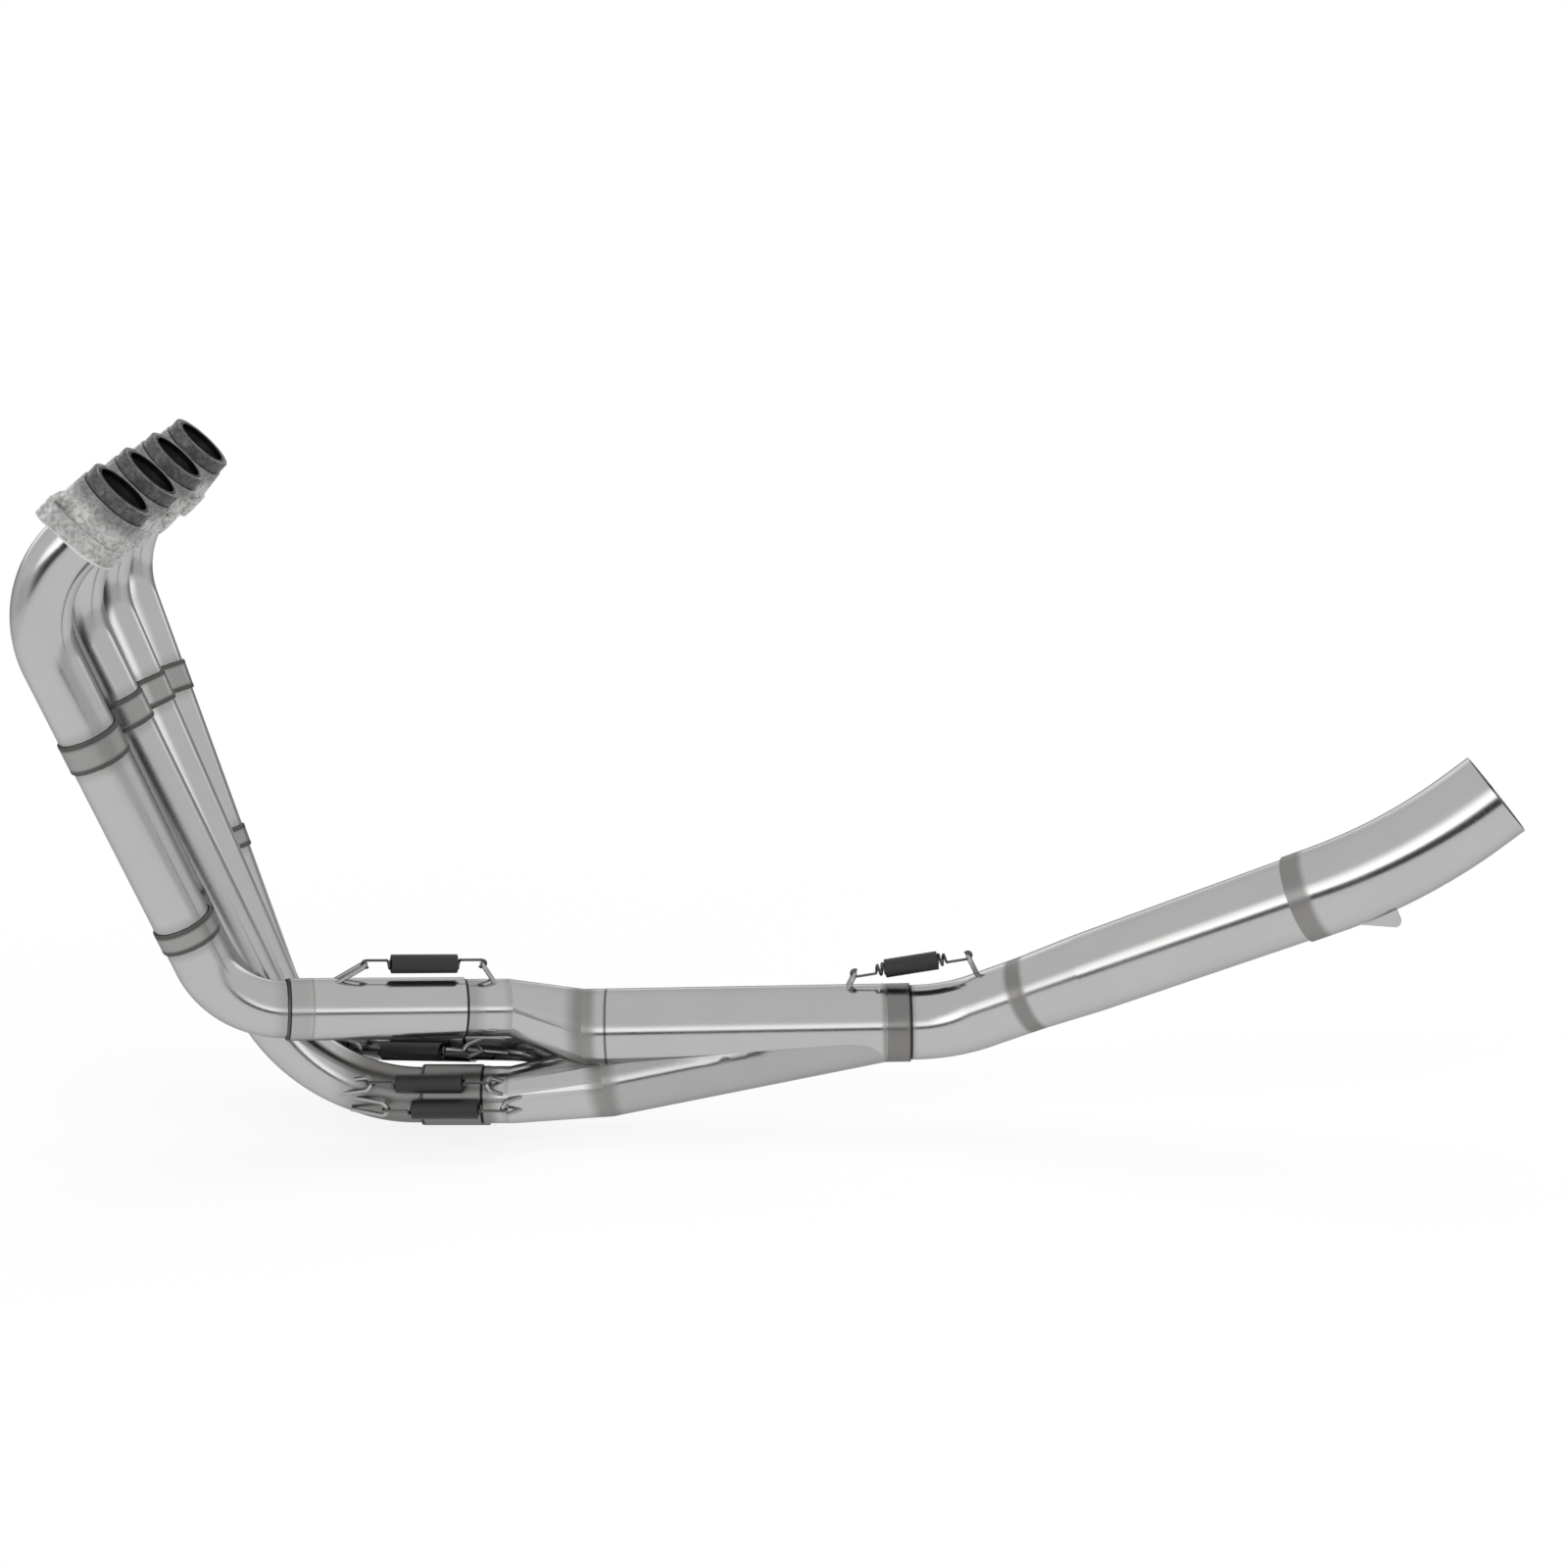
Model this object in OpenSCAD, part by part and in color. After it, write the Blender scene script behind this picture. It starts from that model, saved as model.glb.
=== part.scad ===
// Four-into-two-into-one motorcycle exhaust header for an inline four-cylinder engine.
// Origin: centre of the first port's end face. +X runs to the rear of the machine, +Z is up,
// and the four ports stand in a row along +Y. All sizes are in millimetres and degrees.

/* [Ports] */
// Distance between neighbouring ports
port_pitch = 80; // [74:1:100]
// Tilt of the port axes above the horizontal
port_angle = 45; // [40:1:48]
// Outside diameter of the seat ring on each tube end
ring_od = 46; // [43:0.5:48]
// Length of the seat ring
ring_len = 9; // [6:0.5:11]

/* [Flanges] */
// Distance between the two stud holes of a flange
stud_spacing = 60; // [56:1:66]
// Diameter of a stud hole
stud_hole_d = 8.5; // [6.5:0.5:10]
// Diameter of the metal round a stud hole
ear_d = 17; // [15:0.5:19]
// Thickness of the ears
ear_t = 13; // [8:0.5:14]
// Depth of the cast barrel behind the seat ring
barrel_len = 34; // [28:1:36]
// Barrel diameter beside the seat ring
barrel_front_d = 48; // [46:0.5:50]
// Barrel diameter at the open rear rim
barrel_rear_d = 55; // [52:0.5:58]
// Length of the barrel left plain behind the ears
ear_set_back = 1; // [0.5:0.5:8]
// Turn of the ears about the port axis
ear_turn = 50; // [30:1:54]
// Gap between a flange and the tube that passes through it
flange_gap = 0.4; // [0.2:0.1:0.8]

/* [Primary tubes] */
// Outside diameter of the four primary tubes
tube_od = 38.1; // [35:0.1:40]
// Wall of every tube
wall = 1.2; // [1:0.1:1.6]
// Distance from a port face to the corner of the front bend
front_reach = 98; // [92:0.5:106]
// Centreline radius of the front bends
front_radius = 72; // [66:1:80]
// Place of each lower corner behind the port faces
knee_x = [37.2, 80, 80, 51]; // [10:1:110]
// Place of each lower corner across the machine, from port 1
knee_y = [49.5, 98.5, 141.5, 193]; // [40:0.5:200]
// Depth of each lower corner below the port row
knee_drop = [356, 434, 450.5, 419]; // [350:0.5:455]
// Centreline radius of each lower bend
knee_radius = [62, 117, 100, 50]; // [40:1:120]
// Distance from the front corner to the upper joint of each tube
upper_joint = [106, 99, 101, 107]; // [95:1:130]
// Distance from the front corner to the lower joint of the two outer tubes
lower_joint = [246, 0, 0, 229]; // [0:1:260]
// Length of an upper sleeve
upper_sleeve_len = 18; // [12:1:24]
// Length of a lower sleeve
lower_sleeve_len = 13; // [10:1:20]

/* [Slip joints] */
// Where each slip socket starts, behind the port faces
socket_x = [76, 161, 161, 104]; // [70:1:165]
// Where the mouths of the sockets open
mouth_x = [190, 201, 201, 190]; // [186:1:205]
// Outside diameter of the slip sockets
socket_od = 42; // [42:0.1:44]
// Length of a socket's narrow neck over its primary tube
neck_len = 15; // [10:1:20]
// Length of an inlet tube that is pushed into its socket
insertion = 24; // [16:1:25]
// Gap between a tube and the sleeve or socket round it
slip_gap = 0.15; // [0.1:0.05:0.3]

/* [Collector] */
// Where the inlet tubes end and the merges start
inlet_end_x = 220; // [214:1:226]
// Place of each inlet tube's end across the machine, from port 1
inlet_y = [97, 98.5, 141.5, 143]; // [90:0.5:150]
// Depth of each inlet tube's end below the port row
inlet_drop = [370, 434, 450.5, 404.5]; // [365:0.5:455]
// Length of the upper merge
upper_merge_len = 50; // [44:1:62]
// Length of the lower merge
lower_merge_len = 65; // [56:1:76]
// Depth of the upper merge's mouth below the port row
secondary_drop = 393; // [386:1:396]
// Depth of the lower merge's mouth below the upper one
secondary_gap = 38.5; // [36:0.5:42]
// Outside diameter of the upper secondary tube and of the collector's outlet
collector_od = 54.6; // [53:0.1:57]
// Outside diameter of the lower secondary tube at its merge
lower_secondary_od = 51; // [48:0.5:53]
// Where the secondary tubes become one, behind the port faces
collector_x = 480; // [470:1:500]
// Outside diameter of the lower secondary tube where it ends inside the upper one
lower_end_od = 53.4; // [52:0.1:54]
// Length over which the two secondary tubes open into each other
open_len = 80; // [60:5:120]
// How far the collector's outlet lies above the upper merge's mouth
outlet_climb = 4; // [0:0.5:6]

/* [Link pipe] */
// Length of the link pipe inside the collector
link_insertion = 14; // [10:1:20]
// Length of the stop ring on the link pipe
stop_len = 16; // [12:1:18]
// Gap between the collector's edge and the stop ring
joint_gap = 0.3; // [0.2:0.1:0.6]
// Distance from the collector's end to the link pipe's bend corner
link_lead = 44; // [42:1:50]
// Centreline radius of the link pipe's bend
link_radius = 92; // [60:1:92]
// Distance from the bend corner to the link pipe's butt joint
link_front_run = 62; // [56:1:70]
// Distance between the corners of the link and the tail bend
link_run = 335; // [325:1:345]
// Climb of the link pipe
link_rise = 25; // [20:0.5:28]
// Swing of the link pipe to the near side
link_swing = 18; // [12:0.5:22]
// Length over which the link pipe widens behind its butt joint
flare_len = 45; // [35:1:60]
// Outside diameter of the link pipe behind its flare
link_mid_od = 55; // [53:0.1:57]
// Outside diameter of the link pipe at its rear end
link_rear_od = 56.6; // [55:0.1:58]

/* [Tail pipe] */
// Distance from the tail pipe's front edge to its bend corner
tail_lead = 75; // [64:1:80]
// Length of the link pipe inside the tail pipe
tail_lap = 8; // [5:0.5:12]
// Centreline radius of the tail bend
tail_radius = 340; // [300:5:345]
// Distance from the tail bend's corner to the outlet
tail_run = 72.5; // [72:0.5:80]
// Climb of the tail pipe at its outlet
tail_rise = 40; // [37:0.5:42]
// Swing of the tail pipe to the near side at its outlet
tail_swing = 5; // [0:0.5:10]
// Thickness of the tab under the tail pipe
tab_t = 2.5; // [2:0.1:4]
// Length of the tab along the tail pipe
tab_len = 26; // [18:1:30]
// Distance from the tab's middle to the tail bend's corner
tab_lead = 30; // [20:1:34]
// Reach of the tab below the tail pipe
tab_reach = 9.5; // [9:0.5:16]

/* [Springs] */
// Diameter of the spring wire
spring_wire = 2; // [1.6:0.1:2.2]
// Mean diameter of the coils
coil_d = 8.2; // [7.4:0.1:9]
// Distance between turns
coil_pitch = 3.7; // [3.4:0.1:4.6]
// Length of the coiled part
coil_len = 50; // [46:1:54]
// Distance between the two lug crowns that a spring hooks on
spring_span = 79; // [76:1:86]
// Length of a slip joint's rubber cover
cover_len = 45; // [40:1:48]
// Length of the rear joint's rubber cover
rear_cover_len = 37; // [32:1:42]
// Wall of a rubber cover
cover_wall = 1.2; // [1:0.1:1.6]
// Gap between a cover and the coils inside it
cover_gap = 0.15; // [0.1:0.05:0.3]
// Height of each slip-joint spring above its tube's axis
spring_lift = [31.5, 29.5, 29.5, 29.5, 29.5]; // [28.5:0.5:32]
// Which tube each slip-joint spring holds
spring_tube = [1, 4, 2, 2, 3];
// Clock angle of each slip-joint spring, from the top towards the near side
spring_clock = [0, 100, 55, 90, -90];
// Middle of each slip-joint spring, behind the port faces
spring_x = [163, 156, 167, 178, 167];
// Height of the rear spring above the collector's outlet at its front crown
rear_spring_front = 36; // [34:0.5:40]
// Height of the rear spring above the collector's outlet at its rear crown
rear_spring_rear = 49; // [46:0.5:53]
// Place of the rear spring's front crown ahead of the collector's end
rear_spring_back = 22; // [18:0.5:26]

/* [Spring lugs] */
// Diameter of the round bar of a lug
lug_bar = 3; // [2.4:0.1:3.2]
// Mean width of a lug between its two legs
lug_width = 9; // [8:0.5:11]
// How far the front lug of a spring leans
front_lean = 17; // [10:0.5:20]
// How far the front lug of the rear spring leans
outlet_lug_lean = 7; // [4:0.5:12]
// How far the rear lug of a spring leans
rear_lean = 8; // [4:0.5:12]
// Gap between a hook and the bar that it holds
hook_gap = 0.15; // [0.1:0.05:0.3]

/* [Hidden] */
$fn = 64;
bend_swell = 0.05;  // a drawn bend is this much wider than the straight
lap = 1;            // length over which a straight runs on into its bend
through = 2;        // how far a cut runs past the metal
port_count = 4;
seam_gap = 0.1;
merge_fn = 40;
ring_steps = 10;
wire_sides = 5;
hook_sweep = 225;
hook_steps = 7;
near_dir = -1;

tube_id = tube_od - 2 * wall;
sleeve_id = tube_od + 2 * slip_gap;
sleeve_od = sleeve_id + 2 * wall;
bundle_y = (port_count - 1) / 2 * port_pitch;
socket_id = socket_od - 2 * wall;
inlet_od = socket_id - 2 * slip_gap;
inlet_id = inlet_od - 2 * wall;
collector_id = collector_od - 2 * wall;
link_front_od = collector_id - 2 * slip_gap;
tail_id = link_rear_od + 2 * slip_gap;
tail_od = tail_id + 2 * wall;
cover_id = coil_d + spring_wire + 2 * cover_gap;
cover_od = cover_id + 2 * cover_wall;
hook_r = (lug_bar + spring_wire) / 2 + hook_gap;

// Vectors
function unit(v) = v / norm(v);
function angle_between(a, b) = acos(min(1, max(-1, unit(a) * unit(b))));
function heading(rise, swing) = [cos(rise) * cos(swing), near_dir * cos(rise) * sin(swing), sin(rise)];
function any_side(d) = abs(d[1]) < 0.9 ? [0, 1, 0] : [1, 0, 0];

// Routes of the four primary tubes, from port to slip joint
port_out = [cos(port_angle), 0, sin(port_angle)];
function is_far(i) = i > 2;
function is_inner(i) = i == 2 || i == 3;
function port_at(i) = [0, (i - 1) * port_pitch, 0];
function corner_at(i) = port_at(i) - port_out * front_reach;
function knee_at(i) = [knee_x[i - 1], knee_y[i - 1], -knee_drop[i - 1]];
function inlet_end(i) = [inlet_end_x, inlet_y[i - 1], -inlet_drop[i - 1]];
function run_dir(i) = unit(inlet_end(i) - knee_at(i));
function leg_dir(i) = unit(knee_at(i) - corner_at(i));
function on_leg(i, s) = corner_at(i) + leg_dir(i) * s;
function on_run(i, x) = knee_at(i) + run_dir(i) * (x - knee_x[i - 1]) / run_dir(i)[0];
function lower_start(i) = on_leg(i, is_inner(i) ? upper_joint[i - 1] : lower_joint[i - 1]);
function tube_end_x(i) = mouth_x[i - 1] - insertion;
function neck_end_x(i) = socket_x[i - 1] + neck_len;
function socket_len(i) = (mouth_x[i - 1] - socket_x[i - 1]) / run_dir(i)[0];

// Collector axes
upper_mouth = [inlet_end_x + upper_merge_len, bundle_y, -secondary_drop];
lower_mouth = [inlet_end_x + lower_merge_len, bundle_y, -secondary_drop - secondary_gap];
outlet_at = [collector_x, bundle_y, -secondary_drop + outlet_climb];
upper_axis = unit(outlet_at - upper_mouth);
lower_axis = unit(outlet_at - lower_mouth);
lower_run = norm(outlet_at - lower_mouth);

// Link and tail pipe route
link_dir = heading(link_rise, link_swing);
tail_dir = heading(tail_rise, tail_swing);
link_corner = outlet_at + upper_axis * link_lead;
link_start = outlet_at - upper_axis * link_insertion;
tail_corner = link_corner + link_dir * link_run;
tail_end = tail_corner + tail_dir * tail_run;
link_joint = link_corner + link_dir * link_front_run;
tail_start = tail_corner - link_dir * tail_lead;

// A frame with local +Z along d
module along(p, d) {
  z = unit(d);
  x = unit(cross(any_side(z), z));
  y = cross(z, x);
  multmatrix([[x[0], y[0], z[0], p[0]], [x[1], y[1], z[1], p[1]], [x[2], y[2], z[2], p[2]], [0, 0, 0, 1]])
    children();
}

// A frame whose axes are given
module frame(p, x, y, z) {
  multmatrix([[x[0], y[0], z[0], p[0]], [x[1], y[1], z[1], p[1]], [x[2], y[2], z[2], p[2]], [0, 0, 0, 1]])
    children();
}

// Distance from a corner of a route to where its bend starts
function back_off(pts, radii, i) = i <= 0 || i >= len(pts) - 1 ? 0
  : radii[i] * tan(angle_between(pts[i] - pts[i - 1], pts[i + 1] - pts[i]) / 2);

module elbow(a, b, c, r, d) {
  d1 = unit(b - a);
  d2 = unit(c - b);
  turn = angle_between(d1, d2);
  n = unit(cross(d1, d2));
  x = cross(d1, n);
  frame(b - d1 * r * tan(turn / 2) - x * r, x, d1, n)
    rotate_extrude(angle = turn, $fn = 120) translate([r, 0]) circle(d = d + 2 * bend_swell);
}

// A solid bar that follows a route, longer by over at both ends
module bar(pts, radii, d, over = 0) {
  last = len(pts) - 2;
  for (i = [0 : last]) {
    u = unit(pts[i + 1] - pts[i]);
    s = pts[i] + u * (back_off(pts, radii, i) - (i == 0 ? over : lap));
    e = pts[i + 1] - u * (back_off(pts, radii, i + 1) - (i == last ? over : lap));
    along(s, u) cylinder(d = d, h = norm(e - s));
  }
  for (i = [1 : 1 : last]) elbow(pts[i - 1], pts[i], pts[i + 1], radii[i], d);
}

module pipe(pts, radii, od, id) {
  difference() {
    bar(pts, radii, od);
    bar(pts, radii, id, through);
  }
}

module straight_pipe(a, b, od, id) {
  along(a, b - a) difference() {
    cylinder(d = od, h = norm(b - a));
    translate([0, 0, -through]) cylinder(d = id, h = norm(b - a) + 2 * through);
  }
}

module at_port(i) {
  translate(port_at(i)) rotate([0, 90 - port_angle, 0]) children();
}

// Flange: a cast barrel with two ears, loose on its tube behind the seat ring
module ear_outline() {
  r = ear_d / 2;
  big = barrel_rear_d / 2;
  away = stud_spacing / 2;
  lean = acos((big - r) / away);
  circle(d = barrel_rear_d);
  for (side = [0, 180]) rotate(side) {
    translate([away, 0]) circle(r = r);
    polygon([
      [0, 0], big * [cos(lean), -sin(lean)], [away, 0] + r * [cos(lean), -sin(lean)],
      [away, 0] + r * [cos(lean), sin(lean)], big * [cos(lean), sin(lean)]
    ]);
  }
}

module flange(i) {
  back = ring_len + barrel_len;
  turned = is_far(i) ? 180 - ear_turn : 180 + ear_turn;
  color("silver") at_port(i) difference() {
    union() {
      translate([0, 0, -back]) cylinder(d1 = barrel_rear_d, d2 = barrel_front_d, h = barrel_len);
      translate([0, 0, -back + ear_set_back]) rotate(turned) linear_extrude(ear_t) ear_outline();
    }
    translate([0, 0, -back - through]) cylinder(d = tube_od + 2 * flange_gap, h = back + 2 * through);
    rotate(turned) for (side = [-1, 1])
      translate([side * stud_spacing / 2, 0, -back]) cylinder(d = stud_hole_d, h = back);
  }
}

module port_ring(i) {
  color("dimgray") at_port(i) translate([0, 0, -ring_len]) difference() {
    cylinder(d = ring_od, h = ring_len);
    translate([0, 0, -through]) cylinder(d = tube_od + 2 * slip_gap, h = ring_len + 2 * through);
  }
}

// Primary tubes
module upper_tube(i) {
  color("lightgray") pipe(
    [port_at(i), corner_at(i), on_leg(i, upper_joint[i - 1])], [0, front_radius, 0], tube_od, tube_id);
}

module sleeve_at(i, s, len) {
  straight_pipe(on_leg(i, s - len / 2), on_leg(i, s + len / 2), sleeve_od, sleeve_id);
}

module upper_sleeve(i) color("gray") sleeve_at(i, upper_joint[i - 1], upper_sleeve_len);
module lower_sleeve(i) color("gray") sleeve_at(i, lower_joint[i - 1], lower_sleeve_len);

module middle_tube(i) {
  color("lightgray")
    straight_pipe(on_leg(i, upper_joint[i - 1]), on_leg(i, lower_joint[i - 1]), tube_od, tube_id);
}

function lower_route(i) = [lower_start(i), knee_at(i), on_run(i, neck_end_x(i))];
function lower_radii(i) = [0, knee_radius[i - 1], 0];

module lower_tube(i) {
  color("lightgray") pipe(lower_route(i), lower_radii(i), tube_od, tube_id);
}

// A socket with a narrow neck on its primary tube and a wide bore for the inlet tube
module slip_socket(i) {
  len = socket_len(i);
  color("lightgray") along(on_run(i, socket_x[i - 1]), run_dir(i)) difference() {
    cylinder(d = socket_od, h = len);
    translate([0, 0, -through]) cylinder(d = sleeve_id, h = len);
    translate([0, 0, neck_len / run_dir(i)[0]]) cylinder(d = socket_id, h = len);
  }
}

// Collector
module inlet_tube(i) {
  color("lightgray")
    straight_pipe(on_run(i, tube_end_x(i)), inlet_end(i), inlet_od, inlet_id);
}

module disc(p, d, dir) {
  along(p, dir) cylinder(d = d, h = 0.01, $fn = merge_fn);
}

// Oblique cones from inlet tubes to one round mouth
module merge_body(pair, mouth, dir, d_in, d_out) {
  for (i = pair) hull() {
    disc(inlet_end(i), d_in, run_dir(i));
    disc(mouth - dir * 0.01, d_out, dir);
  }
}

module upper_merge_body(inset) {
  merge_body([1, 4], upper_mouth, upper_axis, inlet_od - 2 * inset, collector_od - 2 * inset);
}

module lower_merge_body(inset) {
  merge_body([2, 3], lower_mouth, lower_axis, inlet_od - 2 * inset, lower_secondary_od - 2 * inset);
}

module upper_merge() {
  color("gray") difference() {
    upper_merge_body(0);
    upper_merge_body(wall);
  }
}

module lower_merge() {
  color("gray") difference() {
    lower_merge_body(0);
    lower_merge_body(wall);
    upper_merge_body(0);
    upper_bar(-seam_gap);
  }
}

module upper_bar(inset, over = 0) {
  along(upper_mouth - upper_axis * over, upper_axis)
    cylinder(d = collector_od - 2 * inset, h = norm(outlet_at - upper_mouth) + 2 * over);
}

// The lower secondary tube's body, without its first part when skip is given
module lower_bar(inset, over = 0, skip = 0) {
  start_od = lower_secondary_od + (lower_end_od - lower_secondary_od) * skip / lower_run;
  along(lower_mouth + lower_axis * (skip - over), lower_axis)
    cylinder(d1 = start_od - 2 * inset, d2 = lower_end_od - 2 * inset, h = lower_run - skip + over);
}

module upper_secondary() {
  color("lightgray") difference() {
    upper_bar(0);
    upper_bar(wall, through);
    lower_bar(wall, 0, lower_run - open_len);
  }
}

module lower_secondary() {
  color("lightgray") difference() {
    lower_bar(0);
    lower_bar(wall, through);
    upper_bar(0, 4 * through);
  }
}

// Link pipe and tail pipe
module stop_ring() {
  color("gray") straight_pipe(outlet_at + upper_axis * joint_gap,
    outlet_at + upper_axis * (joint_gap + stop_len), collector_od, collector_id);
}

link_route = [link_start, link_corner, link_joint];
link_radii = [0, link_radius, 0];

module link_pipe_front() {
  color("lightgray") pipe(link_route, link_radii, link_front_od, link_front_od - 2 * wall);
}

// The link pipe's body: a flare, a slow taper and a round end
module link_body(inset, over) {
  run = norm(tail_start - link_joint);
  translate([0, 0, -over]) cylinder(d = link_front_od - 2 * inset, h = over + lap);
  cylinder(d1 = link_front_od - 2 * inset, d2 = link_mid_od - 2 * inset, h = flare_len);
  translate([0, 0, flare_len])
    cylinder(d1 = link_mid_od - 2 * inset, d2 = link_rear_od - 2 * inset, h = run - lap - flare_len);
  translate([0, 0, run - lap]) cylinder(d = link_rear_od - 2 * inset, h = lap + tail_lap + over);
}

module link_pipe() {
  color("lightgray") along(link_joint, link_dir) difference() {
    link_body(0, 0);
    link_body(wall, through);
  }
}

tail_route = [tail_start, tail_corner, tail_end];
tail_radii = [0, tail_radius, 0];

module tail_pipe() {
  color("lightgray") pipe(tail_route, tail_radii, tail_od, tail_id);
}

// A sheet tab on the underside of the tail pipe
module tail_tab() {
  side = unit(cross([0, 0, 1], link_dir));
  down = cross(side, link_dir);
  tip_r = 4;
  skin = tail_od / 2;
  color("lightgray") difference() {
    frame(tail_corner - link_dir * tab_lead, link_dir, down, side)
      translate([0, 0, -tab_t / 2]) linear_extrude(tab_t) {
        hull() {
          polygon([[-tab_len / 2, skin - 9], [-tab_len / 2, skin], [tab_len / 2, skin - 9]]);
          translate([tab_len / 2 - tip_r, skin + tab_reach - tip_r]) circle(r = tip_r, $fn = 24);
        }
      }
    bar(tail_route, tail_radii, tail_od, through);
  }
}

// Springs: crown points, axis and up direction of each
rear_front_crown = outlet_at + [-rear_spring_back, 0, rear_spring_front];
rear_rear_crown = rear_front_crown
  + [sqrt(pow(spring_span, 2) - pow(rear_spring_rear - rear_spring_front, 2)), 0,
     rear_spring_rear - rear_spring_front];
function run_up(i) = unit([0, 0, 1] - run_dir(i) * run_dir(i)[2]);
function clock_up(k) = let(i = spring_tube[k - 1], c = spring_clock[k - 1])
  cos(c) * run_up(i) + sin(c) * cross(run_dir(i), run_up(i));
function spring_mid(k) = on_run(spring_tube[k - 1], spring_x[k - 1]) + clock_up(k) * spring_lift[k - 1];
function is_rear(k) = k == 6;
function half_span(k) = run_dir(spring_tube[k - 1]) * spring_span / 2;
function front_crown(k) = is_rear(k) ? rear_front_crown : spring_mid(k) - half_span(k);
function rear_crown(k) = is_rear(k) ? rear_rear_crown : spring_mid(k) + half_span(k);
function spring_dir(k) = unit(rear_crown(k) - front_crown(k));
function spring_side(k) = is_rear(k) ? [0, near_dir, 0] : cross(clock_up(k), spring_dir(k));
function spring_up(k) = cross(spring_dir(k), spring_side(k));

// Wire centreline in a frame with the axis along Z: hook, coil with narrowed ends, hook
function coil_r(z) = min(coil_d / 2, hook_r + (coil_len / 2 - abs(z)) * (coil_d / 2 - hook_r) / coil_pitch);
turns = round(coil_len / coil_pitch);
coil_steps = turns * ring_steps;
function wire_points() = concat(
  [for (j = [hook_steps : -1 : 0]) let(a = hook_sweep * j / hook_steps)
    [hook_r * cos(a), 0, -spring_span / 2 - hook_r * sin(a)]],
  [for (j = [0 : coil_steps]) let(z = coil_len * (j / coil_steps - 0.5), a = 360 * j / ring_steps)
    [coil_r(z) * cos(a), coil_r(z) * sin(a), z]],
  [for (j = [0 : hook_steps]) let(a = hook_sweep * j / hook_steps)
    [hook_r * cos(a), 0, spring_span / 2 + hook_r * sin(a)]]
);
function tangent(p, i) = unit(p[min(i + 1, len(p) - 1)] - p[max(i - 1, 0)]);
function carried(n, t) = unit(n - t * (n * t));
function normals(p) = [
  for (i = 0, n = carried([0, 1, 0], tangent(p, 0)); i < len(p);
       i = i + 1, n = carried(n, tangent(p, min(i, len(p) - 1)))) n
];
function wire_rings(p, r) = let(n = normals(p)) [
  for (i = [0 : len(p) - 1]) let(b = cross(tangent(p, i), n[i]))
    for (j = [0 : wire_sides - 1]) let(a = 360 * j / wire_sides) p[i] + r * (cos(a) * n[i] + sin(a) * b)
];

module wire(p, r) {
  s = wire_sides;
  count = len(p);
  function at(i, j) = i * s + j % s;
  polyhedron(
    points = wire_rings(p, r),
    faces = concat(
      [for (i = [0 : count - 2]) for (j = [0 : s - 1]) [at(i, j), at(i + 1, j + 1), at(i, j + 1)]],
      [for (i = [0 : count - 2]) for (j = [0 : s - 1]) [at(i, j), at(i + 1, j), at(i + 1, j + 1)]],
      [[for (j = [0 : s - 1]) at(0, j)], [for (j = [s - 1 : -1 : 0]) at(count - 1, j)]]
    )
  );
}

module spring(k) {
  color("dimgray")
    frame((front_crown(k) + rear_crown(k)) / 2, spring_up(k), spring_side(k) * -1, spring_dir(k))
      wire(wire_points(), spring_wire / 2);
}

module rubber_cover(k) {
  mid = (front_crown(k) + rear_crown(k)) / 2;
  half = spring_dir(k) * (is_rear(k) ? rear_cover_len : cover_len) / 2;
  color("#222222") straight_pipe(mid - half, mid + half, cover_od, cover_id);
}

// A lug: a round bar bent to a U, which leans towards the spring and stands on two feet
module lug(crown, side, leg_dir, len) {
  r = lug_width / 2;
  centre = crown + leg_dir * r;
  for (s = [-1, 1]) along(centre + side * r * s - leg_dir * lap / 20, leg_dir) cylinder(d = lug_bar, h = len);
  frame(centre, side, leg_dir * -1, cross(side, leg_dir * -1))
    rotate_extrude(angle = 180) translate([r, 0]) circle(d = lug_bar + 2 * bend_swell);
}

module lug_pair(k) {
  up = is_rear(k) ? [0, 0, 1] : clock_up(k);
  drop = is_rear(k) ? rear_spring_front : spring_lift[k - 1];
  lean = is_rear(k) ? outlet_lug_lean : front_lean;
  ahead = is_rear(k) ? [1, 0, 0] : spring_dir(k);
  front_dir = unit(-lean * ahead - up * (drop - socket_od / 2));
  rear_dir = unit(rear_lean * ahead - up * (drop - inlet_od / 2));
  lug(front_crown(k), spring_side(k), front_dir, drop - lug_width / 2);
  lug(rear_crown(k), spring_side(k), rear_dir, drop - lug_width / 2);
}

module spring_lugs(k) {
  color("gray") difference() {
    lug_pair(k);
    if (is_rear(k)) {
      upper_bar(0);
      bar(link_route, link_radii, link_front_od);
    } else {
      i = spring_tube[k - 1];
      bar(lower_route(i), lower_radii(i), tube_od);
      along(on_run(i, socket_x[i - 1]), run_dir(i)) cylinder(d = socket_od, h = socket_len(i));
      along(on_run(i, tube_end_x(i)), run_dir(i))
        cylinder(d = inlet_od, h = norm(inlet_end(i) - on_run(i, tube_end_x(i))));
      if (is_inner(i)) lower_merge_body(0);
      else upper_merge_body(0);
    }
  }
}

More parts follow.
